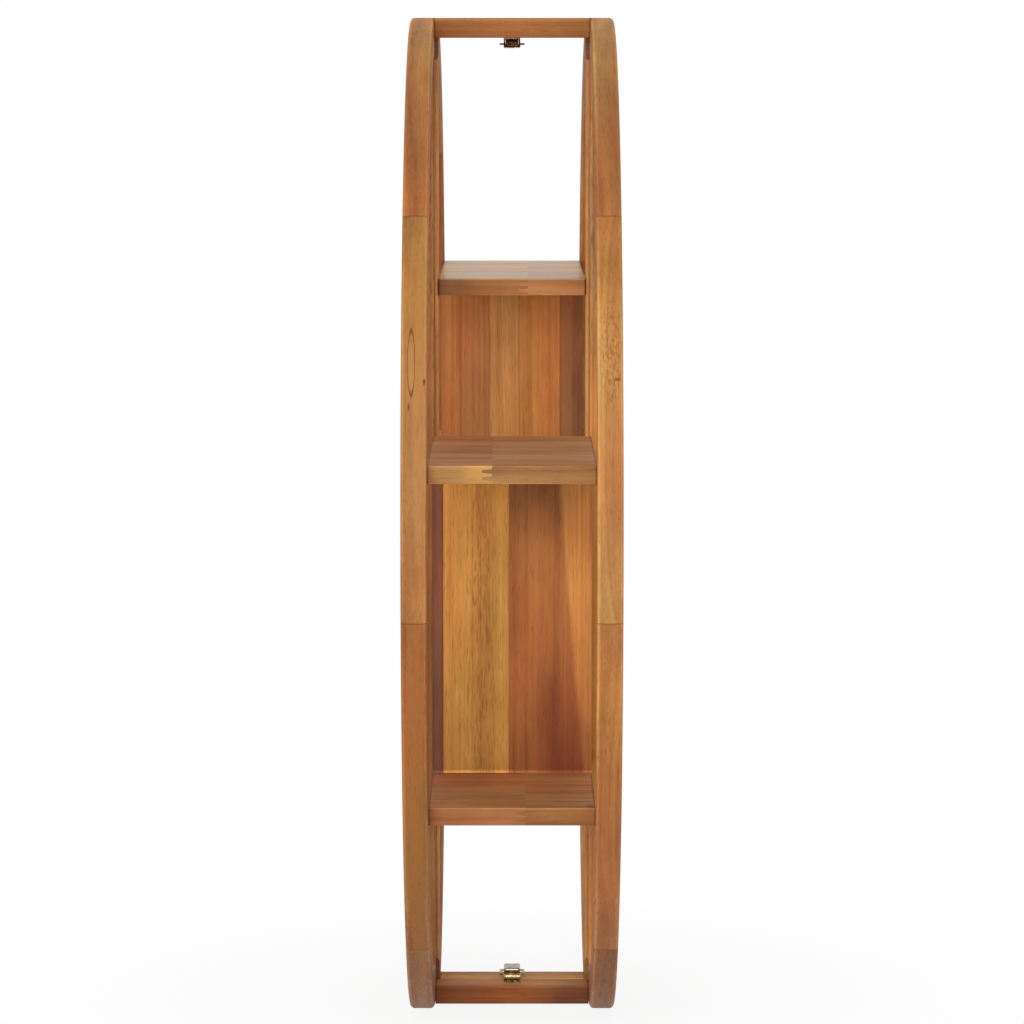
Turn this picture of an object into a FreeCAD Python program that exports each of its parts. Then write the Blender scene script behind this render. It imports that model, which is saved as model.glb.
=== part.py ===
import FreeCAD
import Part
import Sketcher
import math
import os
import re

# A round wall shelf in two D-shaped halves that two draw latches hold together.
# The ring stands in the XZ plane, its axis is Y, the front faces -Y and the wall is at +Y.
# Each half is worked out in its own frame with the joint plane at X = 0 and the arcs at +X;
# the left half is the right one turned half round about Y.

Vector = FreeCAD.Vector
Placement = FreeCAD.Placement
Rotation = FreeCAD.Rotation
AXES = {"X": Vector(1, 0, 0), "Y": Vector(0, 1, 0), "Z": Vector(0, 0, 1)}

# Driving dimensions, in millimetres and degrees
SIZES = {
    "ring_radius": 600,
    "arc_width": 50,
    "shelf_depth": 244,
    # clear depth between the front and the back frame of each half
    "right_gap": 187,
    "left_gap": 178,
    "edge_round": 5,
    "seam_gap": 1,
    # joints between the arc segments, as angles from the top of the half
    "joint_one": 51,
    "joint_two": 96,
    "joint_three": 141,
    "stile_width": 48,
    "block_width": 46,
    "block_thickness": 24,
    "block_round": 4,
    "board_round": 2,
    "board_thickness": 20,
    "shelf_inset": 35,
    # levels of the shelf tops in each half's own frame
    "middle_rise": 107,
    "right_drop": 284,
    "left_drop": 265,
    "middle_start": 156,
    "panel_reach": 210,
    # finger joints across the shelves, measured from the front frame
    "middle_finger": 66,
    "lower_finger": 103,
    "finger_count": 5,
    "finger_length": 11,
    "finger_slope": 1.2,
    # widths of the panel staves from the front, the last one fills up
    "right_stave_one": 13,
    "right_stave_two": 77,
    "left_stave_one": 25,
    "left_stave_two": 35,
    "left_stave_three": 38,
    "left_stave_four": 51,
    "dowel_radius": 4,
    "dowel_long": 44,
    "dowel_short": 24,
    "dowel_fit": 0.1,
    # draw latch, seen from its seam: the lever side reaches along +X
    "latch_width": 20,
    "latch_sheet": 1.2,
    "ear_gap": 0.3,
    "ear_radius": 2.5,
    "base_start": 4,
    "base_length": 30,
    "pivot_reach": 9,
    "pivot_rise": 7.5,
    "pivot_radius": 1.2,
    "pivot_fit": 0.15,
    "lever_head": 3.4,
    "lever_reach": 24,
    "tip_length": 6,
    "tip_rise": 0.4,
    "lever_round": 2.1,
    "link_throw": 8,
    "wire_radius": 1.1,
    "wire_gap": 3,
    "bail_reach": 26,
    "bail_bend": 3,
    "strike_width": 20,
    "strike_start": 5,
    "strike_length": 21,
    "hook_below": 42,
    "hook_above": 25,
    "hook_gap": 0.8,
    "screw_radius": 1.2,
    "screw_length": 12,
    "head_radius": 2.3,
    "head_height": 1.1,
    "screw_fit": 0.1,
    "screw_spread": 4,
    "screw_inset": 5,
    # keyhole hangers in the back of the upper arcs
    "hanger_angle": 30,
    "hanger_width": 15,
    "hanger_height": 32,
    "hanger_sheet": 1.5,
    "hanger_fit": 0.2,
    "hanger_hollow": 8,
    "key_entry": 4.5,
    "key_slot": 2.3,
    "key_drop": 4,
    "key_rise": 5,
    "hanger_screw_inset": 3,
}

doc = FreeCAD.newDocument("RoundWallShelf")
sheet = doc.addObject("Spreadsheet::Sheet", "Sizes")
for row, (alias, value) in enumerate(SIZES.items(), 1):
    sheet.set(f"A{row}", alias)
    sheet.set(f"B{row}", str(value))
    sheet.setAlias(f"B{row}", alias)
doc.recompute()

pieces = {}
holes = {}


def number(expression):
    return float(sheet.evalExpression(expression))


def bound(expression):
    return re.sub(r"\b[a-z]+(_[a-z]+)+\b", lambda word: "Sizes." + word.group(0), expression)


def bind(item, **expressions):
    for target, expression in expressions.items():
        item.setExpression(target, bound(expression))


def at(x, y, z):
    return Vector(number(x), number(y), number(z))


# Sketches and features of the wooden pieces

def new_body(name, place):
    body = doc.addObject("PartDesign::Body", name)
    body.Placement = place
    return body


def outline(body, plane, points, offset="0"):
    # A closed outline whose corners are each tied to a pair of expressions
    sketch = body.newObject("Sketcher::SketchObject", body.Name + "_outline")
    support = [part for part in body.Origin.OriginFeatures if part.Role == plane]
    sketch.AttachmentSupport = [(support[0], "")]
    sketch.MapMode = "FlatFace"
    sketch.setExpression("AttachmentOffset.Base.z", bound(offset))
    corners = [at(x, y, "0") for x, y in points]
    count = len(corners)
    for i in range(count):
        sketch.addGeometry(Part.LineSegment(corners[i], corners[(i + 1) % count]))
    for i in range(count):
        sketch.addConstraint(Sketcher.Constraint("Coincident", i, 2, (i + 1) % count, 1))
    for i, point in enumerate(points):
        for kind, expression in zip(("DistanceX", "DistanceY"), point):
            rule = Sketcher.Constraint(kind, -1, 1, i, 1, number(expression))
            index = sketch.addConstraint(rule)
            sketch.setExpression(f"Constraints[{index}]", bound(expression))
    return sketch


def rectangle(low, high):
    return [(low[0], low[1]), (high[0], low[1]), (high[0], high[1]), (low[0], high[1])]


def pad(body, sketch, length):
    feature = body.newObject("PartDesign::Pad", body.Name + "_pad")
    feature.Profile = sketch
    bind(feature, Length=length)
    return feature


def pocket(body, sketch, length):
    feature = body.newObject("PartDesign::Pocket", body.Name + "_pocket")
    feature.Profile = sketch
    bind(feature, Length=length)
    return feature


def round_edges(body, radius, chosen):
    doc.recompute()
    base = body.Tip
    names = [f"Edge{i}" for i, edge in enumerate(base.Shape.Edges, 1) if chosen(edge)]
    feature = body.newObject("PartDesign::Fillet", body.Name + "_round")
    feature.Base = (base, names)
    bind(feature, Radius=radius)


def runs_along(axis):
    def chosen(edge):
        straight = edge.Curve.TypeId == "Part::GeomLine"
        return straight and abs(edge.Curve.Direction.dot(AXES[axis])) > 0.999
    return chosen


# Solids of the metal pieces, and tools that drill and recess

def block(name, low, high):
    box = doc.addObject("Part::Box", name)
    spans = [f"({top}) - ({bottom})" for bottom, top in zip(low, high)]
    bind(box, Length=spans[0], Width=spans[1], Height=spans[2])
    box.Placement.Base = at(*low)
    return box


def rod(name, radius, length, middle, direction, frame=Placement()):
    # A cylinder about its middle point, along a direction, carried by a frame
    cylinder = doc.addObject("Part::Cylinder", name)
    bind(cylinder, Radius=radius, Height=length)
    turn = Rotation(AXES["Z"], direction)
    start = middle - direction * (number(length) / 2)
    cylinder.Placement = frame.multiply(Placement(start, turn))
    return cylinder


def join(name, solids):
    fused = doc.addObject("Part::MultiFuse", name)
    fused.Shapes = solids
    return fused


def cut(name, base, tools):
    result = doc.addObject("Part::Cut", name)
    result.Base = base
    result.Tool = tools[0] if len(tools) == 1 else join(name + "_tools", tools)
    return result


def group(name, solids):
    bundle = doc.addObject("Part::Compound", name)
    bundle.Links = solids
    return bundle


def drill(piece, tool):
    holes.setdefault(piece, []).append(tool)


def dowel(name, length, middle, direction, drilled):
    # A dowel, and the hole for it in each piece that it ties
    for piece in drilled:
        tool = rod(f"{name}_{piece}", "dowel_radius + dowel_fit", f"{length} + 2 * dowel_fit", middle, direction)
        drill(piece, tool)
    return rod(name, "dowel_radius", length, middle, direction)


# Frames of the two halves

HALVES = {
    "right": Placement(at("seam_gap / 2", "0", "0"), Rotation()),
    "left": Placement(at("-seam_gap / 2", "0", "0"), Rotation(AXES["Y"], 180)),
}
FACES = ("front", "back")
STOPS = ["0", "joint_one", "joint_two", "joint_three", "180"]
ENDS = {"right": ("top", "bottom"), "left": ("bottom", "top")}
MIDDLE_SHELF = {"top": "middle_rise", "start": "middle_start", "finger": "middle_finger"}
END_SHELF = {"start": "0", "finger": "lower_finger"}
SHELVES = {
    "right": {
        "middle": {"name": "shelf_right_middle", **MIDDLE_SHELF},
        "end": {"name": "shelf_right_lower", "top": "-right_drop", **END_SHELF},
    },
    "left": {
        "middle": {"name": "shelf_left_middle", **MIDDLE_SHELF},
        "end": {"name": "shelf_left_upper", "top": "-left_drop", **END_SHELF},
    },
}
STAVES = {
    "right": ["right_stave_one", "right_stave_two"],
    "left": ["left_stave_one", "left_stave_two", "left_stave_three", "left_stave_four"],
}
DOWELLED_STAVES = {"right": (1, 2), "left": (1, 3)}
INNER = "(ring_radius - arc_width)"


def thickness(half):
    return f"((shelf_depth - {half}_gap) / 2)"


def inside(half, face):
    # The face of a frame that looks at the other frame of its half
    return f"-{half}_gap / 2" if face == "front" else f"{half}_gap / 2"


def rear(half, face):
    # The face of a frame that looks at the wall
    return inside(half, face) if face == "front" else "shelf_depth / 2"


def arc_name(half, face, index):
    # Segments are numbered from the top of the hung ring on both halves
    place = index + 1 if half == "right" else len(STOPS) - 1 - index
    return f"arc_{half}_{face}_{place}"


def arc_at(half, face, angle):
    # The segment that holds an angle from the half's own top
    return arc_name(half, face, sum(angle > number(stop) for stop in STOPS[1:-1]))


def arc_segment(half, face, index):
    start, stop = STOPS[index], STOPS[index + 1]
    turn = Rotation(AXES["Y"], number(start) - 90)
    local = Placement(at("0", rear(half, face), "0"), turn)
    body = new_body(arc_name(half, face, index), HALVES[half].multiply(local))
    profile = outline(body, "XY_Plane", rectangle((INNER, f"-{thickness(half)}"), ("ring_radius", "0")))
    sweep = body.newObject("PartDesign::Revolution", body.Name + "_sweep")
    sweep.Profile = profile
    sweep.ReferenceAxis = (profile, ["V_Axis"])
    bind(sweep, Angle=f"{stop} - {start}")
    round_edges(body, "edge_round", lambda edge: edge.Curve.TypeId == "Part::GeomCircle")
    pieces[body.Name] = body


def coped_stile(half, face):
    # A straight upright whose ends are coped to the inner side of the arc
    name = f"stile_{half}_{face}"
    blank = new_body(name + "_blank", HALVES[half])
    corners = rectangle(("0", f"-{INNER}"), ("stile_width", INNER))
    pad(blank, outline(blank, "XZ_Plane", corners, f"-({rear(half, face)})"), thickness(half))
    round_edges(blank, "edge_round", runs_along("Z"))
    middle = at("0", f"{rear(half, face)} - {thickness(half)} / 2", "0")
    disc = rod(name + "_cope", INNER, f"2 * {thickness(half)}", middle, AXES["Y"], HALVES[half])
    pieces[name] = doc.addObject("Part::Common", name)
    pieces[name].Base = blank
    pieces[name].Tool = disc


def end_block(half, end, side):
    body = new_body(f"block_{half}_{end}", HALVES[half])
    inner = f"{side} * (ring_radius - block_thickness)"
    # the outer face lies on the chord of the ring, so the block ends flush with the arcs
    corners = [
        ("0", inner),
        ("block_width", inner),
        ("block_width", f"{side} * sqrt(ring_radius^2 - block_width^2)"),
        ("0", f"{side} * ring_radius"),
    ]
    pad(body, outline(body, "XZ_Plane", corners, inside(half, "front")), f"{half}_gap")
    width, face = number("block_width"), number("ring_radius - block_thickness")

    def outer_edge(edge):
        middle = edge.CenterOfMass
        return runs_along("Y")(edge) and middle.x > width - 0.01 and abs(middle.z) > face + 0.01

    def other_edge(edge):
        on_side = edge.CenterOfMass.x < 0.01 or edge.CenterOfMass.x > width - 0.01
        return runs_along("Y")(edge) and on_side and not outer_edge(edge)

    round_edges(body, "block_round", outer_edge)
    round_edges(body, "board_round", other_edge)
    pieces[body.Name] = body


def shelf_end(shelf):
    level = f"({shelf['top']} - board_thickness / 2)"
    return f"sqrt(ring_radius^2 - {level}^2) - shelf_inset"


def finger_line(half, shelf):
    # The glued finger joint from the underside of a shelf to its top
    count = int(number("finger_count"))
    points = []
    for i in range(count):
        side = "+" if i % 2 == 0 else "-"
        across = f"{shelf['finger']} - {half}_gap / 2 {side} finger_length / 2"
        foot = f"{shelf['top']} - board_thickness + {i} * board_thickness / finger_count"
        head = f"{foot} + board_thickness / finger_count"
        points.append((across, foot if i == 0 else f"{foot} + finger_slope / 2"))
        points.append((across, head if i == count - 1 else f"{head} - finger_slope / 2"))
    return points


def shelf_boards(half, kind):
    shelf = SHELVES[half][kind]
    under = f"{shelf['top']} - board_thickness"
    line = finger_line(half, shelf)
    front, back = inside(half, "front"), inside(half, "back")
    sections = {
        "front": [(front, shelf["top"]), (front, under)] + line,
        "back": [(back, under), (back, shelf["top"])] + line[::-1],
    }
    for face, points in sections.items():
        body = new_body(f"{shelf['name']}_{face}", HALVES[half])
        sketch = outline(body, "YZ_Plane", points, shelf["start"])
        pad(body, sketch, f"{shelf_end(shelf)} - ({shelf['start']})")
        round_edges(body, "board_round", runs_along("Y"))
        pieces[body.Name] = body


def stave_edges(half):
    edges = [inside(half, "front")]
    for width in STAVES[half]:
        edges.append(f"{edges[-1]} + {width}")
    return edges + [inside(half, "back")]


def panel_staves(half):
    edges = stave_edges(half)
    for i in range(len(edges) - 1):
        body = new_body(f"panel_{half}_stave_{i + 1}", HALVES[half])
        foot = SHELVES[half]["end"]["top"]
        corners = rectangle((edges[i], foot), (edges[i + 1], "middle_rise - board_thickness"))
        pad(body, outline(body, "YZ_Plane", corners, "panel_reach"), "board_thickness")
        pieces[body.Name] = body


for half in HALVES:
    for face in FACES:
        for index in range(len(STOPS) - 1):
            arc_segment(half, face, index)
        coped_stile(half, face)
    for end, side in zip(ENDS[half], (1, -1)):
        end_block(half, end, side)
    for kind in SHELVES[half]:
        shelf_boards(half, kind)
    panel_staves(half)


# Dowels that tie the wood together

def tie(group_name, length, half, middle, direction, drilled):
    frame = HALVES[half]
    solids = dowels.setdefault(group_name, [])
    name = f"{group_name}_{len(solids) + 1}"
    solids.append(dowel(name, length, frame.multVec(middle), frame.Rotation.multVec(direction), drilled))


dowels = {}
ARC_MIDDLE = "(ring_radius - arc_width / 2)"
BLOCK_LEVEL = "(ring_radius - block_thickness / 2)"
STILE_LEVEL = f"sqrt({INNER}^2 - (stile_width / 2)^2)"
last_arc = len(STOPS) - 2
for half in HALVES:
    for face in FACES:
        depth = f"{rear(half, face)} - {thickness(half)} / 2"
        for i, stop in enumerate(STOPS[1:-1]):
            angle = math.radians(number(stop))
            radius = number(ARC_MIDDLE)
            middle = Vector(radius * math.sin(angle), number(depth), radius * math.cos(angle))
            along = Vector(math.cos(angle), 0, -math.sin(angle))
            pair = [arc_name(half, face, i), arc_name(half, face, i + 1)]
            tie("arc_dowels", "dowel_long", half, middle, along, pair)
        for end, side, arc in zip(ENDS[half], (1, -1), (0, last_arc)):
            middle = at("stile_width / 2", depth, f"{side} * {STILE_LEVEL}")
            pair = [f"stile_{half}_{face}", arc_name(half, face, arc)]
            tie("stile_dowels", "dowel_long", half, middle, AXES["Z"], pair)
            middle = at("block_width / 2", inside(half, face), f"{side} * {BLOCK_LEVEL}")
            pair = [f"block_{half}_{end}", arc_name(half, face, arc)]
            tie("block_dowels", "dowel_short", half, middle, AXES["Y"], pair)
        for shelf in SHELVES[half].values():
            board = f"{shelf['name']}_{face}"
            level = f"({shelf['top']} - board_thickness / 2)"
            reach = f"(sqrt({INNER}^2 - {level}^2) + {shelf_end(shelf)}) / 2"
            middle = at(reach, inside(half, face), level)
            arc = arc_at(half, face, math.degrees(math.atan2(middle.x, middle.z)))
            tie("shelf_dowels", "dowel_short", half, middle, AXES["Y"], [board, arc])
            if shelf["start"] == "0":
                middle = at("stile_width / 2", inside(half, face), level)
                tie("shelf_dowels", "dowel_short", half, middle, AXES["Y"], [board, f"stile_{half}_{face}"])
    edges = stave_edges(half)
    for stave in DOWELLED_STAVES[half]:
        across = f"({edges[stave]} + {edges[stave + 1]}) / 2"
        for kind, drop in (("end", "0"), ("middle", "board_thickness")):
            shelf = SHELVES[half][kind]
            middle = at("panel_reach + board_thickness / 2", across, f"{shelf['top']} - {drop}")
            seam = number(f"{shelf['finger']} - {half}_gap / 2")
            face = "front" if middle.y < seam else "back"
            pair = [f"panel_{half}_stave_{stave + 1}", f"{shelf['name']}_{face}"]
            tie("panel_dowels", "dowel_short", half, middle, AXES["Z"], pair)
for name, solids in dowels.items():
    pieces[name] = group(name, solids)


# Draw latches: each is built in a frame with its origin on the seam and +Z away from the blocks

BLOCK_FACE = "ring_radius - block_thickness"
LATCHES = {
    "top": (Placement(at("0", "0", BLOCK_FACE), Rotation(AXES["X"], 180)), "right", "left"),
    "bottom": (Placement(at("0", "0", f"-({BLOCK_FACE})"), Rotation(AXES["Z"], 180)), "left", "right"),
}
BASE_HALF = "(latch_width / 2 - latch_sheet - ear_gap)"
PIVOT = ("pivot_reach", "0", "pivot_rise")
LINK = ("pivot_reach + link_throw", "0", "pivot_rise")
BAR = "pivot_reach + link_throw - bail_reach"
LEG = "(latch_width / 2 + wire_gap + wire_radius)"
BASE_SCREWS = "base_start + base_length - screw_inset"
STRIKE_SCREWS = "-(strike_start + strike_length - screw_inset)"


def screw_bores(name, reach):
    return [
        rod(f"{name}_bore_{i}", "screw_radius + screw_fit", "4 * latch_sheet",
            at(reach, f"{side} * screw_spread", "0"), AXES["Z"])
        for i, side in enumerate((1, -1))
    ]


def latch_base(name, frame):
    plate = block(name + "_plate", ("base_start", f"-{BASE_HALF}", "0"),
                  ("base_start + base_length", BASE_HALF, "latch_sheet"))
    solids = [plate]
    for i, side in enumerate((1, -1)):
        middle = f"{side} * ({BASE_HALF} - latch_sheet / 2)"
        solids.append(block(f"{name}_ear_{i}",
                            ("pivot_reach - ear_radius", f"{middle} - latch_sheet / 2", "0"),
                            ("pivot_reach + ear_radius", f"{middle} + latch_sheet / 2", "pivot_rise")))
        solids.append(rod(f"{name}_eye_{i}", "ear_radius", "latch_sheet",
                          at(PIVOT[0], middle, PIVOT[2]), AXES["Y"]))
    bore = rod(name + "_pivot_bore", "pivot_radius + pivot_fit / 3", "2 * latch_width", at(*PIVOT), AXES["Y"])
    pieces[name] = cut(name, join(name + "_solids", solids), [bore] + screw_bores(name, BASE_SCREWS))
    pieces[name].Placement = frame


def latch_lever(name, frame):
    # A folded channel that wraps the ears, with a thumb tab that stands up at the tip
    top = "pivot_rise + lever_head + latch_sheet"
    front = "pivot_reach - ear_radius"
    foot = "pivot_rise - ear_radius"
    tip = "pivot_reach + lever_reach"
    tab = f"{tip} - tip_length"
    side = [
        (front, foot),
        ("pivot_reach + link_throw + ear_radius", foot),
        (tab, f"{top} - 2 * latch_sheet"),
        (tip, f"{top} + tip_rise - latch_sheet"),
        (tip, f"{top} + tip_rise"),
        (tab, top),
        (front, top),
    ]
    body = doc.addObject("PartDesign::Body", name + "_channel")
    pad(body, outline(body, "XZ_Plane", side, "-latch_width / 2"), "latch_width")
    crown = number(top)
    round_edges(body, "lever_round", lambda edge: runs_along("X")(edge) and edge.CenterOfMass.z > crown - 0.01)
    inside = rectangle((f"{front} - latch_sheet", f"{foot} - latch_sheet"), (tab, "pivot_rise + lever_head"))
    pocket(body, outline(body, "XZ_Plane", inside, "latch_width / 2 - latch_sheet"),
           "latch_width - 2 * latch_sheet")
    bores = [
        rod(name + "_pivot_bore", "pivot_radius + pivot_fit", "2 * latch_width", at(*PIVOT), AXES["Y"]),
        rod(name + "_link_bore", "wire_radius + pivot_fit", "2 * latch_width", at(*LINK), AXES["Y"]),
    ]
    pieces[name] = cut(name, body, bores)
    pieces[name].Placement = frame


def latch_bail(name, frame):
    # A bent wire: cross bar, two round corners, two legs and two stubs that turn into the lever
    bar_length = f"2 * ({LEG} - bail_bend)"
    leg_length = "bail_reach - bail_bend"
    solids = [rod(name + "_bar", "wire_radius", bar_length, at(BAR, "0", PIVOT[2]), AXES["Y"])]
    for i, side in enumerate((1, -1)):
        leg = f"{side} * {LEG}"
        middle = at(f"{LINK[0]} - ({leg_length}) / 2", leg, PIVOT[2])
        solids.append(rod(f"{name}_leg_{i}", "wire_radius", leg_length, middle, AXES["X"]))
        stub = f"{LEG} - latch_width / 2 + latch_sheet"
        middle = at(LINK[0], f"{side} * ({LEG} - ({stub}) / 2)", PIVOT[2])
        solids.append(rod(f"{name}_stub_{i}", "wire_radius", stub, middle, AXES["Y"]))
        elbow = doc.addObject("Part::Sphere", f"{name}_elbow_{i}")
        bind(elbow, Radius="wire_radius")
        elbow.Placement.Base = at(LINK[0], leg, PIVOT[2])
        solids.append(elbow)
        bend = doc.addObject("Part::Torus", f"{name}_bend_{i}")
        bind(bend, Radius1="bail_bend", Radius2="wire_radius")
        bend.Angle3 = 90
        corner = at(f"{BAR} + bail_bend", f"{side} * ({LEG} - bail_bend)", PIVOT[2])
        bend.Placement = Placement(corner, Rotation(AXES["Z"], 90 if side > 0 else 180))
        solids.append(bend)
    pieces[name] = join(name, solids)
    pieces[name].Placement = frame


def latch_strike(name, frame):
    # The hook follows the path of the bail's bar, one running gap outside it
    plate = block(name + "_plate", ("-strike_start - strike_length", "-strike_width / 2", "0"),
                  ("-strike_start", "strike_width / 2", "latch_sheet"))
    hollow = "link_throw + wire_radius + hook_gap"
    centre = at("pivot_reach - bail_reach", "0", "pivot_rise")
    outer = rod(name + "_hook", f"{hollow} + latch_sheet", "strike_width", centre, AXES["Y"])
    bind(outer, Angle="hook_below + hook_above")
    rise = math.radians(number("hook_above"))
    along = Vector(math.cos(rise), 0, math.sin(rise))
    down = Vector(math.sin(rise), 0, -math.cos(rise))
    outer.Placement.Rotation = Rotation(along, down, AXES["Y"], "ZXY")
    inner = rod(name + "_curl", hollow, "2 * strike_width", centre, AXES["Y"])
    hook = cut(name + "_lip", outer, [inner])
    pieces[name] = cut(name, join(name + "_solids", [plate, hook]), screw_bores(name, STRIKE_SCREWS))
    pieces[name].Placement = frame


def latch_screws(name, frame, blocks):
    screws = []
    for reach, carrier in zip((BASE_SCREWS, STRIKE_SCREWS), blocks):
        for side in (1, -1):
            label = f"{name}_{len(screws) + 1}"
            across = f"{side} * screw_spread"
            shank_middle = at(reach, across, "latch_sheet - screw_length / 2")
            shank = rod(label + "_shank", "screw_radius", "screw_length", shank_middle, AXES["Z"])
            head_middle = at(reach, across, "latch_sheet + head_height / 2")
            head = rod(label + "_head", "head_radius", "head_height", head_middle, AXES["Z"])
            screws.append(join(label, [shank, head]))
            drill(carrier, rod(label + "_hole", "screw_radius + screw_fit", "screw_length + screw_fit",
                               shank_middle, AXES["Z"], frame))
    pieces[name] = group(name, screws)
    pieces[name].Placement = frame


for end, (frame, lever_half, strike_half) in LATCHES.items():
    latch_base(f"latch_{end}_base", frame)
    latch_lever(f"latch_{end}_lever", frame)
    latch_bail(f"latch_{end}_bail", frame)
    latch_strike(f"latch_{end}_strike", frame)
    pin = f"latch_{end}_pin"
    pieces[pin] = rod(pin, "pivot_radius", "latch_width", at(*PIVOT), AXES["Y"], frame)
    latch_screws(f"latch_{end}_screws", frame, [f"block_{lever_half}_{end}", f"block_{strike_half}_{end}"])


# Keyhole hangers, let in flush with the back of the top segments

WALL = "(shelf_depth / 2)"


def wall_box(name, middle, width, low, high, depth):
    x, z = middle
    return block(name, (f"{x} - ({width}) / 2", f"{WALL} - ({depth})", f"{z} + ({low})"),
                 (f"{x} + ({width}) / 2", WALL, f"{z} + ({high})"))


def countersink(name, middle, extra):
    cone = doc.addObject("Part::Cone", name)
    bind(cone, Radius1=f"screw_radius + {extra}", Radius2=f"head_radius + {extra}", Height="hanger_sheet")
    cone.Placement = Placement(middle - AXES["Y"] * number("hanger_sheet"), Rotation(AXES["Z"], AXES["Y"]))
    return cone


def hanger(half, sign):
    x = f"{sign} * ({ARC_MIDDLE} * sin(hanger_angle) + seam_gap / 2)"
    z = f"{ARC_MIDDLE} * cos(hanger_angle)"
    name = f"hanger_{half}"
    angle = number("hanger_angle")
    arc = arc_at(half, "back", angle if half == "right" else 180 - angle)
    reach = "hanger_height / 2"
    plate = wall_box(name + "_plate", (x, z), "hanger_width", f"-{reach}", reach, "hanger_sheet")
    through = "4 * hanger_sheet"
    tools = [
        rod(name + "_entry", "key_entry", through, at(x, WALL, f"{z} - key_drop"), AXES["Y"]),
        rod(name + "_slot_end", "key_slot", through, at(x, WALL, f"{z} + key_rise"), AXES["Y"]),
        wall_box(name + "_slot", (x, z), "2 * key_slot", "-key_drop", "key_rise", "2 * hanger_sheet"),
    ]
    drill(arc, wall_box(name + "_recess", (x, z), "hanger_width + 2 * hanger_fit",
                        f"-{reach} - hanger_fit", f"{reach} + hanger_fit", "hanger_sheet"))
    drill(arc, wall_box(name + "_hollow", (x, z), "2 * key_entry", "-key_drop - key_entry",
                        "key_rise + key_entry", "hanger_hollow"))
    for side in (1, -1):
        label = f"hanger_screw_{len(hanger_screws) + 1}"
        face = at(x, WALL, f"{z} + {side} * ({reach} - hanger_screw_inset)")
        deep = face - AXES["Y"] * number("hanger_sheet + screw_length / 2")
        shank = rod(label + "_shank", "screw_radius", "screw_length", deep, AXES["Y"])
        hanger_screws.append(join(label, [shank, countersink(label + "_head", face, "0")]))
        tools.append(countersink(label + "_seat", face, "screw_fit"))
        drill(arc, rod(label + "_hole", "screw_radius + screw_fit", "screw_length + screw_fit", deep, AXES["Y"]))
    pieces[name] = cut(name, plate, tools)


hanger_screws = []
for half, sign in (("right", 1), ("left", -1)):
    hanger(half, sign)
pieces["hanger_screws"] = group("hanger_screws", hanger_screws)


# Drill the pieces, check everything and write one file for each piece

for name, tools in holes.items():
    blank = pieces[name]
    blank.Label = name + "_undrilled"
    pieces[name] = cut(name + "_drilled", blank, tools)
doc.recompute()
for item in doc.Objects:
    if "Invalid" in item.State or "Error" in item.State:
        raise RuntimeError(f"{item.Name} failed: {item.State}")
os.makedirs("parts", exist_ok=True)
for name, item in pieces.items():
    item.Label = name
    if item.Shape.isNull() or not item.Shape.isValid():
        raise RuntimeError(f"{name} has no valid shape")
for name, item in pieces.items():
    item.Shape.exportStep(f"parts/{name}.step")
print(len(pieces), "nodes,", sum(len(item.Shape.Solids) for item in pieces.values()), "solids")
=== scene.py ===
import bpy
import bmesh
import math
from mathutils import Matrix, Vector


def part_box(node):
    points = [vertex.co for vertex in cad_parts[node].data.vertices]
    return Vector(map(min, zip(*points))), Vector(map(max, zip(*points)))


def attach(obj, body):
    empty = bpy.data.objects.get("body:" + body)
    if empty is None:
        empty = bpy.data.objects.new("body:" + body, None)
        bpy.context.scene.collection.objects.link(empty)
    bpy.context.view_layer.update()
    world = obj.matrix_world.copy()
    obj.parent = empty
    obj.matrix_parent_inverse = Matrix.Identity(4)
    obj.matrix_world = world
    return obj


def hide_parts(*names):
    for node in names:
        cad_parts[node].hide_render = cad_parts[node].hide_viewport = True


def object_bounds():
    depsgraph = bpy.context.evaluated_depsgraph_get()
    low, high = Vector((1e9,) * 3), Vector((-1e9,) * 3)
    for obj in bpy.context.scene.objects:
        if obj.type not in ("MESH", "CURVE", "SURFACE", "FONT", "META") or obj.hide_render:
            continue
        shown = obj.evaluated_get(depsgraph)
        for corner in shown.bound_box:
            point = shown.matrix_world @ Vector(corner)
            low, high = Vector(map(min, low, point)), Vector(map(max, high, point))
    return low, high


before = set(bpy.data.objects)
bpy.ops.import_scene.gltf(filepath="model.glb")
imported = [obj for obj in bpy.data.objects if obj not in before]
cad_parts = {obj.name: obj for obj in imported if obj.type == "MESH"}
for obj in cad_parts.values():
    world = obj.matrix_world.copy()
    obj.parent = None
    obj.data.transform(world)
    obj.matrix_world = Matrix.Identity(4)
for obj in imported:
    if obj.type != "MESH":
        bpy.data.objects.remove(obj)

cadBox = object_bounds()
scene = bpy.context.scene
scene.view_settings.view_transform = "Standard"
nodeNames = sorted(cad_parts)


# Node helpers

def feed(tree, socket, value):
    if isinstance(value, bpy.types.NodeSocket):
        tree.links.new(value, socket)
    else:
        socket.default_value = value


def addNode(tree, kind, inputs=None, **settings):
    node = tree.nodes.new(kind)
    for name, value in settings.items():
        setattr(node, name, value)
    for name, value in (inputs or {}).items():
        feed(tree, node.inputs[name], value)
    return node


def mathNode(tree, operation, first, second=0.0, clamp=False):
    node = addNode(tree, "ShaderNodeMath", {0: first, 1: second}, operation=operation, use_clamp=clamp)
    return node.outputs[0]


def vectorNode(tree, operation, first, second=None):
    inputs = {0: first}
    if second is not None:
        inputs[1] = second
    node = addNode(tree, "ShaderNodeVectorMath", inputs, operation=operation)
    return node.outputs["Value" if operation in ("LENGTH", "DOT_PRODUCT") else "Vector"]


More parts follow.
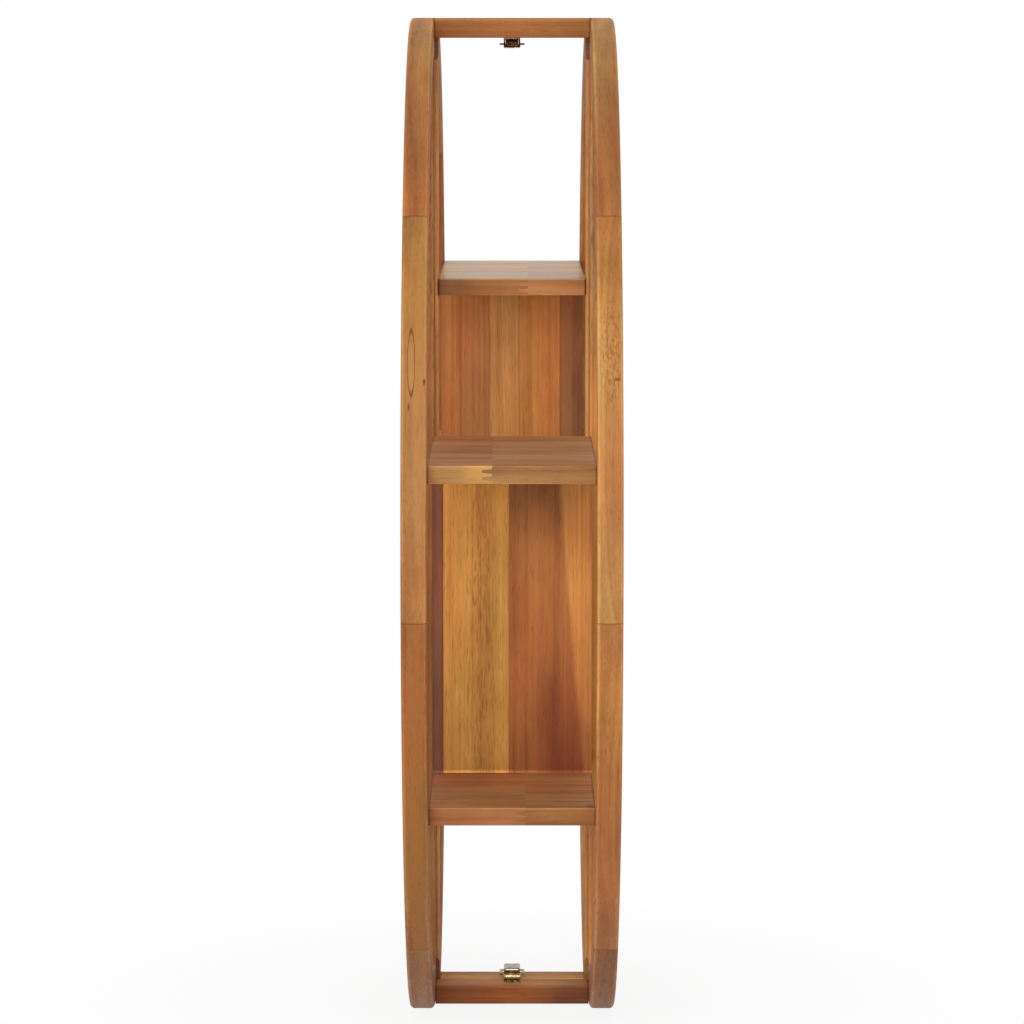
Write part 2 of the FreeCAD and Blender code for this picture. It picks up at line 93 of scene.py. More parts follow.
def noiseNode(tree, vector, scale, detail=2.0, roughness=0.5, stretch=(1.0, 1.0, 1.0)):
    stretched = vectorNode(tree, "MULTIPLY", vector, stretch)
    node = addNode(tree, "ShaderNodeTexNoise", {"Vector": stretched, "Scale": scale, "Detail": detail,
                                                "Roughness": roughness})
    return node.outputs["Fac"]


def rangeNode(tree, value, low, high, toLow=0.0, toHigh=1.0):
    node = addNode(tree, "ShaderNodeMapRange", {"Value": value, "From Min": low, "From Max": high,
                                                "To Min": toLow, "To Max": toHigh}, clamp=True)
    return node.outputs["Result"]


def mixColor(tree, factor, first, second, blend="MIX"):
    # the colour sockets of a Mix node share their names with others, so they go by number
    node = addNode(tree, "ShaderNodeMix", {"Factor": factor, 6: first, 7: second}, data_type="RGBA",
                   blend_type=blend, clamp_factor=True)
    return node.outputs[2]


def newGroup(name, inputs, outputs):
    group = bpy.data.node_groups.new(name, "ShaderNodeTree")
    for label, kind, value in inputs:
        socket = group.interface.new_socket(label, in_out="INPUT", socket_type=kind)
        if value is not None:
            socket.default_value = value
    for label, kind in outputs:
        group.interface.new_socket(label, in_out="OUTPUT", socket_type=kind)
    start = group.nodes.new("NodeGroupInput")
    end = group.nodes.new("NodeGroupOutput")
    return group, start.outputs, end.inputs


def useGroup(tree, group, inputs):
    return addNode(tree, "ShaderNodeGroup", inputs, node_tree=group).outputs


# Teak: growth rings about a pith line beside the board, with the grain along Z of the vector

teak = {
    "rings": 130.0,                    # growth rings in a metre
    "contrast": 1.15,                  # how far they stand out in a plain board
    "wander": 0.02,                    # how far they wander, in metres
    "wanderStretch": (5.0, 5.0, 1.3),
    "linePower": 3.0,                  # makes the late lines thin
    "lateLine": (-0.03, 0.085),        # how far they lighten and darken
    "bandRate": 0.3,                   # wide bands against rings
    "bandRange": (0.28, 0.72, -0.34, 0.34),
    "middle": 0.42,                    # share of late wood in a plain board
    "lightShare": (1.2, 1.24, 1.3),    # early wood against the board's tone
    "darkShare": (0.66, 0.56, 0.5),    # late wood against it
    "rosyShare": (1.07, 0.94, 0.9),
    "oliveShare": (0.94, 1.05, 1.02),
    "tintRange": (0.35, 0.65),
    # streaks: how many across a metre, their width against their length, and how far they darken
    "fibre": {"scale": 380.0, "run": 0.018, "detail": 3.0, "share": 0.15},
    "pore": {"scale": 720.0, "run": 0.085, "detail": 1.0},
    "mottle": {"scale": 34.0, "run": 0.4, "detail": 2.0, "share": 0.2},
    "patch": {"scale": 7.0, "run": 0.3, "detail": 2.0, "share": 0.26},
    "tint": {"scale": 10.0, "run": 0.22, "detail": 2.0},
    "streakRange": (0.3, 0.7),
    "streakRoughness": 0.6,
    "poreRange": (0.57, 0.68),
    "poreFade": (0.0, 0.6, 1.0, 0.45),   # fewer pores towards the late wood
    "poreTint": (0.3, 0.24, 0.22),
    "stripSeed": 9.0,                  # how far edge-glued strips differ in figure
    "stripTone": 0.3,                  # and in tone
    "seedShift": (1.7, 2.3, 3.1),
    "roughness": (0.5, 0.62),
    "poreRoughness": 0.12,
    "fibreHeight": 0.4,
}


def teakGroup():
    group, given, result = newGroup("teakGrain", [
        ("Vector", "NodeSocketVector", None),
        ("Tone", "NodeSocketColor", (0.4, 0.15, 0.04, 1)),
        ("Pith", "NodeSocketVector", None),
        ("Seed", "NodeSocketFloat", 0.0),
        ("Rings", "NodeSocketFloat", teak["rings"]),
        ("Contrast", "NodeSocketFloat", teak["contrast"]),
        ("Pores", "NodeSocketFloat", 0.5),
        ("Strip", "NodeSocketFloat", 0.0),
    ], [("Color", "NodeSocketColor"), ("Roughness", "NodeSocketFloat"), ("Height", "NodeSocketFloat")])
    parts = addNode(group, "ShaderNodeSeparateXYZ", {0: given["Vector"]}).outputs
    # edge-glued strips across the board change the seed and the tone
    stripIndex = mathNode(group, "FLOOR", mathNode(group, "MULTIPLY", parts["X"], given["Strip"]))
    stripRandom = addNode(group, "ShaderNodeTexWhiteNoise", {"W": mathNode(group, "ADD", stripIndex, given["Seed"])},
                          noise_dimensions="1D").outputs["Value"]
    stripOn = mathNode(group, "GREATER_THAN", given["Strip"], 0.5)
    strip = mathNode(group, "MULTIPLY", mathNode(group, "SUBTRACT", stripRandom, 0.5), stripOn)
    seed = mathNode(group, "ADD", given["Seed"], mathNode(group, "MULTIPLY", strip, teak["stripSeed"]))
    shift = {axis: mathNode(group, "MULTIPLY", seed, step) for axis, step in enumerate(teak["seedShift"])}
    moved = vectorNode(group, "ADD", given["Vector"], addNode(group, "ShaderNodeCombineXYZ", shift).outputs[0])
    # growth rings, wandering slowly along the board
    slow = vectorNode(group, "MULTIPLY", moved, teak["wanderStretch"])
    wander = addNode(group, "ShaderNodeTexNoise", {"Vector": slow, "Scale": 1.0, "Detail": 2.0}).outputs["Color"]
    wander = vectorNode(group, "MULTIPLY", vectorNode(group, "SUBTRACT", wander, (0.5, 0.5, 0.5)),
                        (teak["wander"], teak["wander"], 0.0))
    flat = vectorNode(group, "MULTIPLY", given["Vector"], (1.0, 1.0, 0.0))
    fromPith = vectorNode(group, "SUBTRACT", vectorNode(group, "ADD", flat, wander), given["Pith"])
    phase = mathNode(group, "MULTIPLY", vectorNode(group, "LENGTH", fromPith), given["Rings"])
    line = mathNode(group, "FRACT", phase)
    late = rangeNode(group, mathNode(group, "POWER", line, teak["linePower"]), 0.0, 1.0, *teak["lateLine"])
    bandAt = mathNode(group, "ADD", mathNode(group, "MULTIPLY", phase, teak["bandRate"]), seed)
    band = addNode(group, "ShaderNodeTexNoise", {"W": bandAt, "Scale": 1.0, "Detail": 3.0, "Roughness": 0.6},
                   noise_dimensions="1D").outputs["Fac"]
    rings = mathNode(group, "ADD", rangeNode(group, band, *teak["bandRange"]), late)

    def streaks(name):
        streak = teak[name]
        return noiseNode(group, moved, streak["scale"], streak["detail"], teak["streakRoughness"],
                         (1.0, 1.0, streak["run"]))

    def shareOf(name, noise):
        share = teak[name]["share"]
        return rangeNode(group, noise, *teak["streakRange"], -share, share)

    fibre = streaks("fibre")
    poreMask = mathNode(group, "MULTIPLY", rangeNode(group, streaks("pore"), *teak["poreRange"]),
                        rangeNode(group, line, *teak["poreFade"]))
    # share of late wood from rings, fibres, patches and strips
    dark = mathNode(group, "ADD", mathNode(group, "MULTIPLY", rings, given["Contrast"]), teak["middle"])
    dark = mathNode(group, "ADD", dark, shareOf("fibre", fibre))
    for name in ("mottle", "patch"):
        dark = mathNode(group, "ADD", dark, shareOf(name, streaks(name)))
    dark = mathNode(group, "ADD", dark, mathNode(group, "MULTIPLY", strip, teak["stripTone"]), True)
    early = mixColor(group, 1.0, given["Tone"], (*teak["lightShare"], 1), "MULTIPLY")
    lateColor = mixColor(group, 1.0, given["Tone"], (*teak["darkShare"], 1), "MULTIPLY")
    tint = mixColor(group, rangeNode(group, streaks("tint"), *teak["tintRange"]),
                    (*teak["rosyShare"], 1), (*teak["oliveShare"], 1))
    wood = mixColor(group, 1.0, mixColor(group, dark, early, lateColor), tint, "MULTIPLY")
    poreColor = mixColor(group, 1.0, wood, (*teak["poreTint"], 1), "MULTIPLY")
    wood = mixColor(group, mathNode(group, "MULTIPLY", poreMask, given["Pores"]), wood, poreColor)
    group.links.new(wood, result["Color"])
    rough = mathNode(group, "ADD", rangeNode(group, fibre, *teak["streakRange"], *teak["roughness"]),
                     mathNode(group, "MULTIPLY", poreMask, teak["poreRoughness"]))
    group.links.new(rough, result["Roughness"])
    height = mathNode(group, "SUBTRACT", mathNode(group, "MULTIPLY", fibre, teak["fibreHeight"]), poreMask)
    group.links.new(height, result["Height"])
    return group


# Marks in the wood: an oval with a soft and ragged edge, a rim round it, and short dashes inside it

markFigure = {"ragScale": 140.0, "ragRun": 0.12, "rimCore": 0.2, "dashScale": 420.0, "dashRun": 0.16,
              "dashRange": (0.5, 0.62)}


def markGroup():
    group, given, result = newGroup("woodMark", [
        ("Vector", "NodeSocketVector", None),
        ("Centre", "NodeSocketVector", None),
        ("Reach", "NodeSocketVector", (1.0, 1.0, 1.0)),
        ("Lean", "NodeSocketFloat", 0.0),
        ("Edge", "NodeSocketFloat", 0.2),
        ("Ragged", "NodeSocketFloat", 0.2),
    ], [("Inside", "NodeSocketFloat"), ("Rim", "NodeSocketFloat"), ("Dashes", "NodeSocketFloat")])
    local = vectorNode(group, "SUBTRACT", given["Vector"], given["Centre"])
    along = addNode(group, "ShaderNodeSeparateXYZ", {0: local}).outputs["Z"]
    leaned = addNode(group, "ShaderNodeCombineXYZ", {1: mathNode(group, "MULTIPLY", along, given["Lean"])}).outputs[0]
    scaled = vectorNode(group, "DIVIDE", vectorNode(group, "SUBTRACT", local, leaned), given["Reach"])
    rag = noiseNode(group, given["Vector"], markFigure["ragScale"], 2.0, 0.6, (1.0, 1.0, markFigure["ragRun"]))
    rag = mathNode(group, "MULTIPLY", mathNode(group, "SUBTRACT", rag, 0.5), given["Ragged"])
    away = mathNode(group, "SUBTRACT", mathNode(group, "ADD", vectorNode(group, "LENGTH", scaled), rag), 1.0)
    softness = mathNode(group, "DIVIDE", away, given["Edge"])
    inside = rangeNode(group, softness, -1.0, 1.0, 1.0, 0.0)
    group.links.new(inside, result["Inside"])
    rim = rangeNode(group, mathNode(group, "ABSOLUTE", softness), markFigure["rimCore"], 1.0, 1.0, 0.0)
    group.links.new(rim, result["Rim"])
    dash = noiseNode(group, given["Vector"], markFigure["dashScale"], 1.0, 0.5, (1.0, 1.0, markFigure["dashRun"]))
    dash = rangeNode(group, dash, *markFigure["dashRange"])
    group.links.new(mathNode(group, "MULTIPLY", dash, inside), result["Dashes"])
    return group


# Glue line where two arc segments butt, a thin dark line at one angle of the ring

glue = {"tint": (0.3, 0.24, 0.22), "width": 0.0006, "core": 0.3}


def glueGroup():
    group, given, result = newGroup("glueLine", [
        ("Vector", "NodeSocketVector", None),
        ("Angle", "NodeSocketFloat", 0.0),
        ("Width", "NodeSocketFloat", glue["width"]),
    ], [("Mask", "NodeSocketFloat")])
    parts = addNode(group, "ShaderNodeSeparateXYZ", {0: given["Vector"]}).outputs
    angle = mathNode(group, "ARCTAN2", parts["X"], parts["Z"])
    turned = mathNode(group, "ABSOLUTE", mathNode(group, "SUBTRACT", angle, given["Angle"]))
    radius = vectorNode(group, "LENGTH", vectorNode(group, "MULTIPLY", given["Vector"], (1.0, 0.0, 1.0)))
    away = mathNode(group, "DIVIDE", mathNode(group, "MULTIPLY", turned, radius), given["Width"])
    group.links.new(rangeNode(group, away, glue["core"], 1.0, 1.0, 0.0), result["Mask"])
    return group


# Wear and a painted highlight on rounded edges: strongest where the normal stands half way to the given axis, lighter
# both as worn lacquer and as the sheen a rounded edge catches

wearAndHighlight = {
    "tint": (1.65, 1.82, 2.1), "share": 0.8, "sharpness": 1.6, "spread": 0.5,
    "rubScale": 60.0, "rubRange": (0.3, 0.6),
    "arcs": (0, 1, 0), "alongY": (0, 0, 1), "alongZ": (0, 1, 0),   # axis for arcs and for boards by their grain
}


def wearAndHighlightGroup():
    group, given, result = newGroup("edgeWearAndHighlight", [
        ("Vector", "NodeSocketVector", None),
        ("Normal", "NodeSocketVector", None),
        ("Axis", "NodeSocketVector", (0.0, 1.0, 0.0)),
        ("Spread", "NodeSocketFloat", wearAndHighlight["spread"]),
    ], [("Mask", "NodeSocketFloat")])
    lean = vectorNode(group, "DOT_PRODUCT", given["Normal"], given["Axis"])
    lean = mathNode(group, "MULTIPLY", lean, lean)
    edge = mathNode(group, "MULTIPLY", lean, mathNode(group, "SUBTRACT", 1.0, lean))
    edge = mathNode(group, "MULTIPLY", edge, 4.0)   # brings the peak to 1
    edge = mathNode(group, "POWER", edge, wearAndHighlight["sharpness"])
    rub = noiseNode(group, given["Vector"], wearAndHighlight["rubScale"], 3.0, 0.6)
    rub = rangeNode(group, rub, *wearAndHighlight["rubRange"], given["Spread"], 1.0)
    group.links.new(mathNode(group, "MULTIPLY", edge, rub, True), result["Mask"])
    return group


teakGrain = teakGroup()
woodMark = markGroup()
glueLine = glueGroup()
edgeWearAndHighlight = wearAndHighlightGroup()

# base colours of the boards, before the grain
tones = {
    "golden": (0.5, 0.23, 0.062),
    "honey": (0.45, 0.195, 0.052),
    "fawn": (0.45, 0.21, 0.068),
    "straw": (0.51, 0.235, 0.048),
    "copper": (0.39, 0.148, 0.033),
    "toffee": (0.325, 0.12, 0.028),
    "walnut": (0.27, 0.101, 0.034),
    "amber": (0.39, 0.15, 0.042),
    "russet": (0.34, 0.122, 0.036),
    "chestnut": (0.27, 0.09, 0.029),
    "umber": (0.19, 0.06, 0.026),
}
lacquer = {
    "coat": 0.0, "coatRoughness": 0.25, "specular": 0.2, "bump": 0.14, "bumpDepth": 0.0004, "pores": 0.32,
    "polishDepth": (0.0012, 0.0004),   # a polish starts and is full this far under the upper face
}

# figure that single boards show, and painted light and painted shade on some faces, noted at each such mark; places
# and reaches in metres, in the frame of the object, and a tint that the mark lays over the grain; a reach of 5 or 9
# takes in the whole board
marks = {
    "arc_right_front_1": [
        # painted light: the upper end lighter, where light from above falls on it
        {"mask": "Inside", "centre": (0.2, -0.1, 0.575), "reach": (9.0, 9.0, 0.05), "edge": 0.5,
         "ragged": 0.3, "tint": (1.15, 1.3, 1.08), "share": 1.0},
        {"mask": "Inside", "centre": (0.4, -0.1, 0.455), "reach": (9.0, 9.0, 0.032), "edge": 0.6,
         "ragged": 0.3, "tint": (0.9, 0.84, 0.76), "share": 1.0},
    ],
    "arc_right_front_2": [
        # painted shade: the inner face darker, as little light falls on it
        {"mask": "Inside", "centre": (0.5, -0.0935, -0.1), "reach": (9.0, 0.0018, 0.185), "edge": 0.2,
         "ragged": 0.2, "tint": (0.84, 0.78, 0.78), "share": 1.0},
        {"mask": "Inside", "centre": (0.45, -0.1, 0.33), "reach": (9.0, 9.0, 0.085), "edge": 0.5,
         "ragged": 0.3, "tint": (0.98, 0.95, 0.8), "share": 1.0},
        {"mask": "Inside", "centre": (0.56, -0.1106, 0.221), "reach": (0.2, 0.0034, 0.031), "edge": 0.12,
         "ragged": 0.2, "tint": (1.1, 1.12, 1.12), "share": 0.8},
        {"mask": "Rim", "centre": (0.56, -0.1106, 0.221), "reach": (0.2, 0.0039, 0.034), "edge": 0.15,
         "ragged": 0.25, "tint": (0.3, 0.22, 0.2), "share": 0.85},
        {"mask": "Inside", "centre": (0.565, -0.0963, 0.2), "reach": (0.2, 0.0012, 0.0034), "edge": 0.5,
         "ragged": 0.4, "tint": (0.12, 0.1, 0.1), "share": 0.9},
        {"mask": "Inside", "centre": (0.574, -0.1131, 0.173), "reach": (0.2, 0.0011, 0.0045), "edge": 0.6,
         "ragged": 0.4, "tint": (0.2, 0.15, 0.15), "share": 0.8},
    ],
    "arc_right_front_3": [
        # painted shade: the inner face darker, as little light falls on it
        {"mask": "Inside", "centre": (0.5, -0.0935, -0.1), "reach": (9.0, 0.0018, 0.185), "edge": 0.2,
         "ragged": 0.2, "tint": (0.84, 0.78, 0.78), "share": 1.0},
    ],
    "arc_right_back_1": [
        # painted light: the upper end lighter, where light from above falls on it
        {"mask": "Inside", "centre": (0.2, 0.1, 0.575), "reach": (9.0, 9.0, 0.05), "edge": 0.5,
         "ragged": 0.3, "tint": (1.17, 1.3, 1.08), "share": 1.0},
        {"mask": "Inside", "centre": (0.4, 0.1, 0.452), "reach": (9.0, 9.0, 0.038), "edge": 0.6,
         "ragged": 0.3, "tint": (0.83, 0.78, 0.7), "share": 1.0},
    ],
    "arc_right_back_2": [
        {"mask": "Inside", "centre": (0.45, 0.1, 0.345), "reach": (9.0, 9.0, 0.07), "edge": 0.5,
         "ragged": 0.3, "tint": (0.93, 0.93, 0.82), "share": 1.0},
        {"mask": "Inside", "centre": (0.5, 0.1, 0.235), "reach": (9.0, 9.0, 0.055), "edge": 0.6,
         "ragged": 0.3, "tint": (1.14, 1.25, 1.3), "share": 1.0},
        # painted light: the inner face lighter, as light from the other side falls on it
        {"mask": "Inside", "centre": (0.5, 0.0935, -0.1), "reach": (9.0, 0.0018, 0.185), "edge": 0.2,
         "ragged": 0.2, "tint": (1.3, 1.3, 1.1), "share": 1.0},
        {"mask": "Dashes", "centre": (0.55, 0.1085, 0.229), "reach": (0.2, 0.012, 0.055), "edge": 0.25,
         "ragged": 0.4, "tint": (0.58, 0.46, 0.38), "share": 0.6},
        {"mask": "Inside", "centre": (0.56, 0.116, 0.203), "reach": (0.2, 0.003, 0.0022), "edge": 0.5,
         "ragged": 0.5, "tint": (0.3, 0.24, 0.22), "share": 0.8},
    ],
    "arc_right_back_3": [
        # painted light: the inner face lighter, as light from the other side falls on it
        {"mask": "Inside", "centre": (0.5, 0.0935, -0.1), "reach": (9.0, 0.0018, 0.185), "edge": 0.2,
         "ragged": 0.2, "tint": (1.3, 1.3, 1.1), "share": 1.0},
        {"mask": "Inside", "centre": (0.55, 0.1, -0.16), "reach": (9.0, 9.0, 0.055), "edge": 0.6,
         "ragged": 0.3, "tint": (1.12, 1.18, 1.04), "share": 1.0},
        {"mask": "Inside", "centre": (0.45, 0.1, -0.39), "reach": (9.0, 9.0, 0.08), "edge": 0.5,
         "ragged": 0.3, "tint": (0.84, 0.87, 0.95), "share": 1.0},
    ],
    "stile_right_front": [
        {"mask": "Dashes", "centre": (0.03, -0.1, 0.36), "reach": (9.0, 9.0, 0.15), "edge": 0.4,
         "ragged": 0.3, "tint": (0.55, 0.45, 0.4), "share": 0.6},
    ],
    "stile_right_back": [
        # darker upper part: takes back the stile's painted light where the stile is seen above the shelves
        {"mask": "Inside", "centre": (0.03, 0.1, 0.43), "reach": (9.0, 9.0, 0.22), "edge": 0.4,
         "ragged": 0.3, "tint": (0.66, 0.78, 1.0), "share": 1.0},
        {"mask": "Dashes", "centre": (0.03, 0.1, 0.36), "reach": (9.0, 9.0, 0.15), "edge": 0.4,
         "ragged": 0.3, "tint": (0.55, 0.45, 0.4), "share": 0.6},
    ],
    "block_right_bottom": [
        # painted light: the upper face lighter, as if lit from above
        {"mask": "Inside", "centre": (0.0, 0.0, -0.576), "reach": (0.0425, 9.0, 0.0012), "edge": 0.03,
         "ragged": 0.0, "tint": (1.9, 2.7, 2.5), "share": 1.0},
        {"mask": "Inside", "centre": (0.046, -0.004, -0.59), "reach": (0.1, 0.035, 0.05), "edge": 0.6,
         "ragged": 0.1, "tint": (1.25, 1.12, 0.95), "share": 0.9},
        {"mask": "Inside", "centre": (0.046, 0.08, -0.6), "reach": (0.1, 0.035, 0.022), "edge": 0.4,
         "ragged": 0.1, "tint": (0.62, 0.58, 0.75), "share": 0.9},
    ],
    "shelf_right_middle_front": [
        {"mask": "Inside", "centre": (0.24, -0.04, 0.107), "reach": (0.17, 0.08, 0.0012), "edge": 0.6,
         "ragged": 0.3, "tint": (0.92, 0.8, 0.85), "share": 0.9},
        {"mask": "Inside", "centre": (0.56, -0.034, 0.099), "reach": (0.012, 0.018, 0.02), "edge": 0.35,
         "ragged": 0.2, "tint": (1.2, 1.2, 0.95), "share": 0.9},
    ],
    "shelf_right_lower_front": [
        {"mask": "Inside", "centre": (0.28, -0.06, -0.284), "reach": (0.1, 0.05, 0.0012), "edge": 0.6,
         "ragged": 0.3, "tint": (0.82, 0.74, 0.74), "share": 0.9},
    ],
    "shelf_right_lower_back": [
        {"mask": "Inside", "centre": (0.3, 0.05, -0.284), "reach": (0.14, 0.04, 0.0012), "edge": 0.6,
         "ragged": 0.3, "tint": (0.84, 0.78, 0.8), "share": 0.9},
        # painted shadow in the corner where the shelf meets the arc
        {"mask": "Inside", "centre": (0.476, 0.0885, -0.281), "reach": (0.014, 0.0045, 0.0045), "edge": 0.5,
         "ragged": 0.3, "tint": (0.3, 0.25, 0.22), "share": 0.9},
    ],
    "shelf_left_upper_front": [
        # painted shadow: the left end of the front edge darker, where the arcs beside it cast a shadow
        {"mask": "Inside", "centre": (0.0, -0.085, 0.25), "reach": (0.012, 0.035, 0.03), "edge": 0.6,
         "ragged": 0.2, "tint": (0.64, 0.6, 0.66), "share": 0.9},
        {"mask": "Inside", "centre": (0.0, 0.0, 0.256), "reach": (0.012, 0.013, 0.006), "edge": 0.4,
         "ragged": 0.2, "tint": (1.2, 1.3, 1.1), "share": 0.8},
        {"mask": "Inside", "centre": (0.0, -0.03, 0.246), "reach": (0.012, 0.05, 0.004), "edge": 0.6,
         "ragged": 0.2, "tint": (0.7, 0.6, 0.6), "share": 0.8},
    ],
    "shelf_left_upper_back": [
        {"mask": "Inside", "centre": (0.0, 0.06, 0.256), "reach": (0.012, 0.014, 0.006), "edge": 0.5,
         "ragged": 0.2, "tint": (1.15, 1.2, 1.05), "share": 0.8},
        {"mask": "Inside", "centre": (0.0, 0.03, 0.254), "reach": (0.012, 0.012, 0.01), "edge": 0.5,
         "ragged": 0.3, "tint": (0.62, 0.55, 0.5), "share": 0.8},
        {"mask": "Inside", "centre": (0.0, 0.06, 0.246), "reach": (0.012, 0.05, 0.004), "edge": 0.6,
         "ragged": 0.2, "tint": (0.7, 0.6, 0.6), "share": 0.8},
    ],
    "panel_right_stave_1": [
        {"mask": "Inside", "centre": (0.2, -0.09, -0.27), "reach": (5.0, 0.06, 0.13), "edge": 0.5,
         "ragged": 0.1, "tint": (0.62, 0.78, 0.85), "share": 0.8},
    ],
    "panel_right_stave_2": [
        {"mask": "Dashes", "centre": (0.2, -0.037, -0.09), "reach": (9.0, 0.014, 0.22), "edge": 0.5,
         "ragged": 0.4, "tint": (0.55, 0.45, 0.4), "share": 0.5},
    ],
    "panel_right_stave_3": [
        {"mask": "Inside", "centre": (0.2, -0.0095, -0.12), "reach": (5.0, 0.08, 5.0), "lean": -0.083,
         "edge": 0.03, "ragged": 0.05, "tint": (0.72, 0.6, 0.62), "share": 1.0},
        {"mask": "Inside", "centre": (0.2, 0.056, -0.33), "reach": (5.0, 0.045, 0.2), "lean": -0.02, "edge": 0.35,
         "ragged": 0.2, "tint": (0.74, 0.6, 0.6), "share": 0.9},
        {"mask": "Inside", "centre": (0.2, 0.066, -0.3), "reach": (5.0, 0.03, 0.09), "lean": -0.1, "edge": 0.7,
         "ragged": 0.2, "tint": (0.55, 0.45, 0.55), "share": 0.9},
        # painted shadow under the middle shelf, at the top of the stave
        {"mask": "Inside", "centre": (0.2, 0.03, 0.06), "reach": (5.0, 0.036, 0.044), "edge": 0.8,
         "ragged": 0.2, "tint": (0.5, 0.5, 0.6), "share": 0.9},
    ],
}


def teakMaterial(name, tone, turn, place, pith, seed, shade=1.0, strip=0.0, gloss=lacquer["coat"],
                 pores=lacquer["pores"], contrast=teak["contrast"], joints=(), edges="arcs"):
    material = bpy.data.materials.new(name)
    material.use_nodes = True
    tree = material.node_tree
    shader = tree.nodes["Principled BSDF"]
    given = addNode(tree, "ShaderNodeTexCoord").outputs
    coords = given["Object"]
    mapping = addNode(tree, "ShaderNodeMapping", {"Vector": coords, "Rotation": turn, "Location": place})
    color = [channel * shade for channel in tones[tone]]
    grain = useGroup(tree, teakGrain, {"Vector": mapping.outputs[0], "Tone": (*color, 1), "Pith": pith,
                                       "Seed": seed, "Strip": strip, "Pores": pores, "Contrast": contrast})
    color = grain["Color"]
    # marks: wood figure, and painted light and painted shade where noted in the table
    for mark in marks.get(name, ()):
        shape = useGroup(tree, woodMark, {"Vector": coords, "Centre": mark["centre"], "Reach": mark["reach"],
                                          "Lean": mark.get("lean", 0.0), "Edge": mark["edge"],
                                          "Ragged": mark["ragged"]})
        strength = mathNode(tree, "MULTIPLY", shape[mark["mask"]], mark["share"])
        color = mixColor(tree, strength, color, (*mark["tint"], 1), "MULTIPLY")
    for joint in joints:
        line = useGroup(tree, glueLine, {"Vector": coords, "Angle": math.radians(joint)})["Mask"]
        color = mixColor(tree, line, color, (*glue["tint"], 1), "MULTIPLY")
    # lighten the rounded edges: partly wear, partly a painted highlight
    wornAndLit = useGroup(tree, edgeWearAndHighlight, {"Vector": coords, "Normal": given["Normal"], "Axis": wearAndHighlight[edges]})["Mask"]
    color = mixColor(tree, mathNode(tree, "MULTIPLY", wornAndLit, wearAndHighlight["share"]), color, (*wearAndHighlight["tint"], 1), "MULTIPLY")
    tree.links.new(color, shader.inputs["Base Color"])
    tree.links.new(grain["Roughness"], shader.inputs["Roughness"])
    bump = addNode(tree, "ShaderNodeBump", {"Strength": lacquer["bump"], "Distance": lacquer["bumpDepth"],
                                            "Height": grain["Height"]})
    tree.links.new(bump.outputs[0], shader.inputs["Normal"])
    shader.inputs["Specular IOR Level"].default_value = lacquer["specular"]
    if gloss:
        height = addNode(tree, "ShaderNodeSeparateXYZ", {0: coords}).outputs["Z"]
        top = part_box(name)[1][2]
        start, full = (top - depth for depth in lacquer["polishDepth"])
        tree.links.new(rangeNode(tree, height, start, full, 0.0, gloss), shader.inputs["Coat Weight"])
    shader.inputs["Coat Roughness"].default_value = lacquer["coatRoughness"]
    return material


def dress(nodeName, material):
    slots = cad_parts[nodeName].data.materials
    slots.clear()
    slots.append(material)


# Arcs: each segment is sawn from a straight plank, so its grain follows the chord

arcTones = {
    "right_front": (("toffee", 0.98), ("honey", 0.75), ("toffee", 0.8), ("walnut", 1.08)),
    "right_back": (("toffee", 1.02), ("honey", 0.93), ("amber", 0.95), ("walnut", 1.02)),
    "left_front": (("amber", 1.0), ("russet", 1.0), ("honey", 1.0), ("russet", 1.0)),
    "left_back": (("russet", 1.0), ("amber", 1.0), ("russet", 1.0), ("golden", 0.9)),
}
arcs = {
    "radius": 0.575,
    "joints": {"right": (51, 96, 141), "left": (-39, -84, -129)},   # degrees from the top
    "pithAside": (0.03, 0.12),
    "placeSeed": 3.7, "toneSeed": 2.9, "backSeed": 11.0, "leftSeed": 23.0,
}


def dressArcs():
    for flank, flankTones in arcTones.items():
        half = flank.split("_")[0]
        for place, (tone, shade) in enumerate(flankTones, 1):
            nodeName = f"arc_{flank}_{place}"
            low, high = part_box(nodeName)
            middle = [(a + b) / 2 for a, b in zip(low, high)]
            turn = (0.0, math.pi / 2 - math.atan2(middle[0], middle[2]), 0.0)
            side = (-1) ** place
            pith = (arcs["pithAside"][0] * side, middle[1] + arcs["pithAside"][1] * side, 0.0)
            seed = place * arcs["placeSeed"] + len(tone) * arcs["toneSeed"]
            if "back" in flank:
                seed += arcs["backSeed"]
            if half == "left":
                seed += arcs["leftSeed"]
            angles = arcs["joints"][half]
            joints = [angles[i] for i in (place - 2, place - 1) if 0 <= i < len(angles)]
            dress(nodeName, teakMaterial(nodeName, tone, turn, (-arcs["radius"], 0, 0), pith, seed, shade,
                                         joints=joints))


# Straight boards: stiles, blocks, shelves and panel staves

